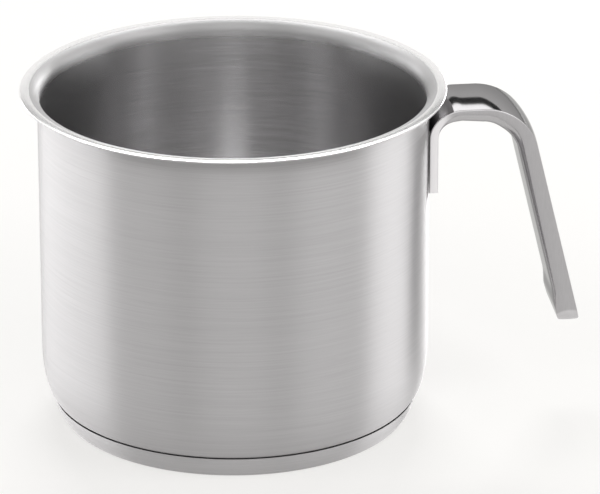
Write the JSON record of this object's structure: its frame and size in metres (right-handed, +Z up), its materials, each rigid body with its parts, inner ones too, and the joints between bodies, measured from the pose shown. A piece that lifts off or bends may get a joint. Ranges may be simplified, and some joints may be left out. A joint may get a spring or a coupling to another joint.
{
  "type": "milk pan",
  "caption": "Straight-sided steel milk pan with a flared pouring rim, a thick sandwich base and an upright strap handle, for heating and pouring milk or sauce.",
  "frame": {"origin": "on the pan's axis, at the flat underside of the base", "axes": "+Z up along the pan's axis, +X along the handle, +Y across the handle"},
  "size_m": [0.2036, 0.1542, 0.1256],
  "materials": {
    "body_steel": "satin, brushed round the wall, with a bright rim",
    "core_aluminium": "as rolled, out of sight",
    "cap_steel": "satin, turned",
    "handle_steel": "polished faces, satin flanks and tip"
  },
  "bodies": {
    "root": {"pan_body": "body_steel", "base_core": "core_aluminium", "base_cap": "cap_steel", "handle": "handle_steel"}
  },
  "joints": []
}
